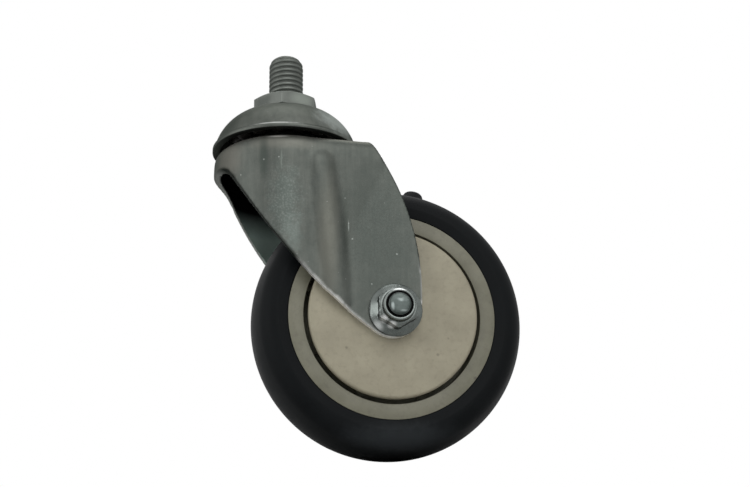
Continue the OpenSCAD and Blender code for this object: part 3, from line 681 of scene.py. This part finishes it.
TYRE_R, CROWN_R, SHOULDER_R, TYRE_HALF = 37.5, 25.0, 5.5, 13.0
RIM_R, BEAD_HALF, KEY_R, KEY_HALF = 28.0, 12.3, 29.4, 4.5
crown_mid = TYRE_R - CROWN_R
shoulder_y = TYRE_HALF - SHOULDER_R
shoulder_mid = crown_mid + math.sqrt((CROWN_R - SHOULDER_R) ** 2 - shoulder_y ** 2)
crown_turn = math.degrees(math.asin(shoulder_y / (CROWN_R - SHOULDER_R)))
half_profile = arc_points((crown_mid, 0), CROWN_R, 0, crown_turn, 14)[1:]
half_profile += arc_points((shoulder_mid, shoulder_y), SHOULDER_R, crown_turn, 90, 16)[1:]
half_profile += arc_points((RIM_R + 0.45, BEAD_HALF - 0.33), 0.42, 82, 180, 4)
half_profile += [(RIM_R, KEY_HALF), (KEY_R, KEY_HALF)]


def axle_ring(r, along, angles):
    """A ring about the axle. Along is measured from the middle of the wheel to the near side."""
    return [Vector((AXLE[0] + r * math.cos(a), -along, AXLE[1] + r * math.sin(a))) * MM for a in angles]


tyre_profile = [(r, -y) for r, y in reversed(half_profile)] + [(TYRE_R, 0)] + half_profile
wheel_angles = turn_angles(256)
form = skin([axle_ring(r, y, wheel_angles) for r, y in tyre_profile], loop=True)

NUB_TURN, NUB_SIDE = math.radians(77.5), 3.0
NUB_R, NUB_FOOT, NUB_TOP = 3.6, 36.6, 39.2
out = Vector((math.cos(NUB_TURN), 0, math.sin(NUB_TURN)))
over = Vector((-math.sin(NUB_TURN), 0, math.cos(NUB_TURN)))
nub_middle = Vector((AXLE[0], -NUB_SIDE, AXLE[1]))


def nub_ring(r, high):
    """A ring of the nub, at a height above the axle."""
    middle = nub_middle + out * high
    return [(middle + over * r * math.cos(a) + Vector((0, r * math.sin(a), 0))) * MM for a in turn_angles(40)]


nub_rows = [(NUB_R, NUB_FOOT), (NUB_R - 0.5, 37.6), (NUB_R - 0.8, 38.2), (NUB_R - 1.05, 38.7),
    (NUB_R - 1.5, 39.08), (NUB_R - 2.2, NUB_TOP)]
nub_rings = [[(nub_middle + out * NUB_FOOT) * MM]]
nub_rings += [nub_ring(r, high) for r, high in nub_rows]
nub_rings += [[(nub_middle + out * NUB_TOP) * MM]]
form.from_mesh(as_mesh(skin(nub_rings), "nub"))
tyre = settled(form, "tyre_moulded", tyre_rubber, 40)
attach(tyre, "wheel_assembly")
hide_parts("tyre")

# Bearings
# Two ball bearings in the hub, hidden by the guards: ground rings, a brass cage, steel balls
# and thin shields.
BEARING_BALLS, BEARING_PITCH_R, BEARING_BALL_R = 7, 7.5, 1.98
ground_steel = zinc_finish("ground_steel", (0.30, 0.30, 0.29, 1), (0.48, 0.48, 0.47, 1), (0.6, 0.6, 0.6, 1),
    (1, 0.2, 1), 0.25)
cage_brass = zinc_finish("cage_brass", (0.30, 0.22, 0.09, 1), (0.44, 0.34, 0.15, 1), (0.6, 0.5, 0.3, 1),
    (1, 0.2, 1), 0.3)
for side in ("near", "far"):
    for ring in ("inner_ring", "outer_ring", "shields"):
        repaint(side + "_bearing_" + ring, ground_steel)
    repaint(side + "_bearing_cage", cage_brass)
    name = side + "_bearing_balls"
    low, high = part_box(name)
    middle = (AXLE[0] * MM, (low.y + high.y) / 2, AXLE[1] * MM)
    bearing_balls = ball_set(name + "_set", BEARING_BALLS, BEARING_PITCH_R, BEARING_BALL_R, middle,
        (math.pi / 2, 0, 0), ground_steel)
    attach(bearing_balls, "fork_assembly")
    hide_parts(name)

# Thread guards
# Moulded beige discs, one beside each leg, that keep threads out of the bearings. They are
# flat, round at the edge, and stand still with the fork.
guard_plastic = plastic_finish("guard_plastic", (0.256, 0.234, 0.168, 1), (0.318, 0.292, 0.212, 1),
    (0.12, 0.10, 0.07, 1), 0.5, 330, 0.11)
GUARD_R, GUARD_EDGE, GUARD_FACE, GUARD_BACK = 22.8, 0.8, 14.3, 12.3
GUARD_BORE_R, BOSS_R, SPIGOT_R = 4.02, 6.5, 5.9
LEG_IN, SPIGOT_END = 15.0, 11.5
guard_profile = [(GUARD_BORE_R, LEG_IN), (BOSS_R - 0.1, LEG_IN), (BOSS_R, LEG_IN - 0.1),
    (BOSS_R, GUARD_FACE + 0.1), (BOSS_R + 0.2, GUARD_FACE), (12, GUARD_FACE), (17, GUARD_FACE)]
guard_profile += arc_points((GUARD_R - GUARD_EDGE, GUARD_FACE - GUARD_EDGE), GUARD_EDGE, 90, 0, 8)
guard_profile += [(GUARD_R, GUARD_BACK + 0.15), (GUARD_R - 0.15, GUARD_BACK), (SPIGOT_R, GUARD_BACK),
    (SPIGOT_R, SPIGOT_END), (GUARD_BORE_R, SPIGOT_END)]
for side, way in (("near", 1), ("far", -1)):
    guard_rings = [axle_ring(r, way * y, wheel_angles[::2]) for r, y in guard_profile]
    guard = settled(skin(guard_rings, loop=True), side + "_guard", guard_plastic)
    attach(guard, "fork_assembly")
    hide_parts(side + "_thread_guard")

# Axle: bolt, sleeve and lock nut
# A bright zinc hex bolt from the far side, through a sleeve that carries the bearings, into a
# flanged nut whose collar grips a plastic ring on the bolt's thread.
AXLE_FLATS, HEAD_H, BOLT_R = 10, 4, 3.0
LEG_OUT, NUT_H, COLLAR_R, FLANGE_R, NUT_BORE_R = 17.0, 7.2, 4.3, 7.1, 3.05
NUT_FACE = LEG_OUT + NUT_H
BOLT_TIP = NUT_FACE + 0.5
HEX_TOP = NUT_FACE - 2.0
HEAD_FACE = -LEG_OUT - HEAD_H


def bright_finish(name, dark, mid, rough, patches):
    """Bright zinc: smooth grey with a faint cloud, corners paled by wear and by a painted highlight, and
    placed patches of painted highlight and painted shade.
    """
    material, tree, shader, where = new_finish(name)
    clouds = clouded(tree, where, 420, 3, 0.3, 0.7)
    colour = patched(tree, where, blended(tree, clouds, dark, mid), patches)
    corners = placed(tree, edge, {"Radius": 0.25 * MM, "Gain": 3.0})
    # The rounded corners are paled, partly as wear and partly as a painted highlight
    colour = blended(tree, maths(tree, "MULTIPLY", corners, 0.6), colour, (0.75, 0.78, 0.77, 1))
    tree.links.new(colour, shader.inputs["Base Color"])
    shader.inputs["Metallic"].default_value = 0.9
    shader.inputs["Specular Tint"].default_value = (0.5, 0.5, 0.5, 1)
    tree.links.new(maths(tree, "MULTIPLY_ADD", clouds, 0.1, rough), shader.inputs["Roughness"])
    return material


# Painted highlights on the nut's lower left hex flats, its flange and the top of its collar, and painted
# shade at the left of its flange.
nut_highlights_and_shade = [
    ((24.6, -20.6, -69.6), (1.8, 2.6, 1.5), 0.3, (0.98, 0.99, 0.98, 1), 0.95),
    ((26.6, -20.6, -71.1), (1.8, 2.6, 1.3), 0.3, (0.98, 0.99, 0.98, 1), 0.95),
    ((23.6, -17.8, -70.6), (2.3, 1.5, 2.2), 0.6, (0.62, 0.65, 0.64, 1), 0.8),
    ((21.2, -18, -65.5), (0.5, 3, 3.2), 0.3, (0.02, 0.022, 0.021, 1), 0.8),
    ((28.2, -24.2, -62.2), (4.2, 0.7, 0.9), 0.4, (0.8, 0.82, 0.81, 1), 0.7)]
bright_zinc = bright_finish("bright_zinc", (0.105, 0.118, 0.111, 1), (0.155, 0.172, 0.164, 1), 0.24,
    nut_highlights_and_shade)
# Painted highlights on the end of the bolt.
tip_highlights = [
    ((28.6, -24.6, -65.2), (1.9, 1, 0.9), 3.0, (0.30, 0.34, 0.33, 1), 0.6),
    ((26.3, -24.5, -67.2), (0.6, 1, 1.5), 1.6, (0.30, 0.34, 0.33, 1), 0.55),
    ((29.2, -24.5, -68.2), (1.6, 1, 0.5), 2.4, (0.30, 0.34, 0.33, 1), 0.5)]
bolt_zinc = bright_finish("bolt_zinc", (0.036, 0.045, 0.042, 1), (0.078, 0.092, 0.087, 1), 0.3, tip_highlights)

axle_angles = turn_angles(96)


def hex_axle_ring(along, first_corner, limit, least=0.0):
    """A ring of a hex about the axle, held inside a limit and outside a least radius."""
    ring = []
    for a in axle_angles:
        r = max(least, min(limit, hex_radius(a, AXLE_FLATS, math.radians(first_corner), 0.06)))
        ring.append(Vector((AXLE[0] + r * math.cos(a), -along, AXLE[1] + r * math.sin(a))) * MM)
    return ring


def round_rings(rows):
    """Round rings about the axle, each given by its radius and its place along it."""
    return [axle_ring(r, along, axle_angles) for r, along in rows]


def axle_point(along):
    """One point on the axle, which closes an end."""
    return [[Vector((AXLE[0], -along, AXLE[1])) * MM]]


bevel_drops = [0.0, 0.1, 0.25, 0.4, 0.55]
nut_rings = round_rings([(NUT_BORE_R, LEG_OUT), (6.95, LEG_OUT), (FLANGE_R, LEG_OUT + 0.15),
    (FLANGE_R, LEG_OUT + 0.85), (6.98, LEG_OUT + 1.0)])
nut_rings += [hex_axle_ring(LEG_OUT + 1 + 0.3 * i, 30, 9, 6.9 - 0.46 * i) for i in range(1, 5)]
nut_rings += [hex_axle_ring(HEX_TOP - drop, 30, 4.75 + 2 * drop) for drop in reversed(bevel_drops)]
nut_rings += round_rings([(4.5, HEX_TOP), (4.35, HEX_TOP + 0.08), (COLLAR_R, HEX_TOP + 0.2),
    (COLLAR_R, NUT_FACE - 0.4), (4.22, NUT_FACE - 0.14), (4.04, NUT_FACE - 0.02), (3.84, NUT_FACE),
    (3.64, NUT_FACE - 0.06), (3.56, NUT_FACE - 0.2), (3.6, NUT_FACE - 0.33), (3.9, NUT_FACE - 0.35),
    (3.9, NUT_FACE - 1.65), (NUT_BORE_R, NUT_FACE - 1.65)])
bolt_rings = axle_point(HEAD_FACE) + round_rings([(4.5, HEAD_FACE)])
bolt_rings += [hex_axle_ring(HEAD_FACE + drop, 0, 4.75 + 2 * drop) for drop in bevel_drops]
bolt_rings += [hex_axle_ring(-LEG_OUT, 0, 9)]
bolt_rings += round_rings([(BOLT_R, -LEG_OUT), (BOLT_R, BOLT_TIP - 0.42), (2.93, BOLT_TIP - 0.24),
    (2.75, BOLT_TIP - 0.11), (2.4, BOLT_TIP - 0.03), (1.6, BOLT_TIP)])
bolt_rings += axle_point(BOLT_TIP)
fasteners = [("axle_nut", nut_rings, True, bright_zinc), ("axle_bolt", bolt_rings, False, bolt_zinc)]
for cad_node, rings, loop, finish in fasteners:
    fastener = settled(skin(rings, loop), cad_node + "_bright", finish, 28)
    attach(fastener, "fork_assembly")
    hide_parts(cad_node)
repaint("axle_sleeve", bright_zinc)
# The insert is near black with almost no sheen, for the dark ring round the bolt's end
insert_plastic = plastic_finish("insert_plastic", (0.002, 0.002, 0.002, 1), (0.004, 0.004, 0.004, 1),
    (0.01, 0.01, 0.01, 1), 0.5, 900, 0.05)
insert_plastic.node_tree.nodes["Principled BSDF"].inputs["Specular IOR Level"].default_value = 0.03
repaint("nut_insert", insert_plastic)

# Studio
# A pale floor under the wheel, which shows from above only, because the camera stands below it.
# A white surround and three large soft lamps light the castor.
FLOOR_HALF = 2
FLOOR_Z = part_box("tyre")[0].z
floor_form = bmesh.new()
for x, y in ((-1, -1), (1, -1), (1, 1), (-1, 1)):
    floor_form.verts.new((x * FLOOR_HALF, y * FLOOR_HALF, FLOOR_Z))
floor_form.faces.new(floor_form.verts)
floor = shown_as("floor", as_mesh(floor_form, "floor"))
pale, tree, shader, where = new_finish("pale_floor")
dusting = clouded(tree, where, 6, 3, 0.3, 0.7)
dusted = blended(tree, dusting, (0.78, 0.78, 0.775, 1), (0.82, 0.82, 0.815, 1))
tree.links.new(dusted, shader.inputs["Base Color"])
shader.inputs["Roughness"].default_value = 0.7
through = put(tree, "ShaderNodeBsdfTransparent")
below = put(tree, "ShaderNodeNewGeometry").outputs["Backfacing"]
seen = put(tree, "ShaderNodeMixShader", {0: below, 1: shader.outputs[0], 2: through.outputs[0]})
tree.links.new(seen.outputs[0], tree.nodes["Material Output"].inputs["Surface"])
painted(floor.data, pale)

world = bpy.data.worlds.new("white_studio")
world.use_nodes = True
bpy.context.scene.world = world
tree = world.node_tree
path = put(tree, "ShaderNodeLightPath").outputs
mirrored = maths(tree, "MAXIMUM", path["Is Glossy Ray"], path["Is Transmission Ray"])
plain = maths(tree, "MAXIMUM", path["Is Camera Ray"], mirrored)
light = put(tree, "ShaderNodeBackground", {"Color": (1, 1, 1, 1), "Strength": 0.36})
white = put(tree, "ShaderNodeBackground", {"Color": (1, 1, 1, 1), "Strength": 1.0})
both = put(tree, "ShaderNodeMixShader", {0: plain, 1: light.outputs[0], 2: white.outputs[0]})
tree.links.new(both.outputs[0], tree.nodes["World Output"].inputs["Surface"])


def lamp(name, place, aim, size, watts):
    """A square soft lamp."""
    made = bpy.data.lights.new(name, "AREA")
    made.size = size
    made.energy = watts
    held = shown_as(name, made)
    held.location = place
    held.rotation_euler = (Vector(aim) - Vector(place)).to_track_quat("-Z", "Y").to_euler()


MIDDLE = (0.02, 0, -0.05)
lamp("key", (0.15, -0.9, 0.45), MIDDLE, 0.7, 4.2)
lamp("left", (-0.7, -0.35, 0.1), MIDDLE, 0.4, 1.6)
lamp("top", (0, 0.1, 0.9), MIDDLE, 0.6, 2.4)

# Camera
# At the photograph's angle: a little to the left of square on, below the floor and looking up.
# Its place was fitted to the outlines of the castor.
VIEW_AZ, VIEW_EL, VIEW_ROLL = -8.4416, -17.6948, -1.2117
VIEW_FAR = 299.5454 * MM
VIEW_AIM = Vector((25.6309, 0, -42.4713)) * MM
SENSOR_W, FOCAL = 36, 50.303
az, el, roll = (math.radians(a) for a in (VIEW_AZ, VIEW_EL, VIEW_ROLL))
back = Vector((math.sin(az) * math.cos(el), -math.cos(az) * math.cos(el), math.sin(el)))
level_right = (-back).cross(Vector((0, 0, 1))).normalized()
level_up = level_right.cross(-back)
right = math.cos(roll) * level_right + math.sin(roll) * level_up
up = math.cos(roll) * level_up - math.sin(roll) * level_right
lens = bpy.data.cameras.new("camera")
lens.sensor_width = SENSOR_W
lens.lens = FOCAL
lens.clip_start = 0.01
camera = shown_as("camera", lens)
camera.matrix_world = Matrix([*zip(right, up, back, VIEW_AIM + back * VIEW_FAR), (0, 0, 0, 1)])
bpy.context.scene.camera = camera
bpy.context.scene.view_settings.view_transform = "Standard"
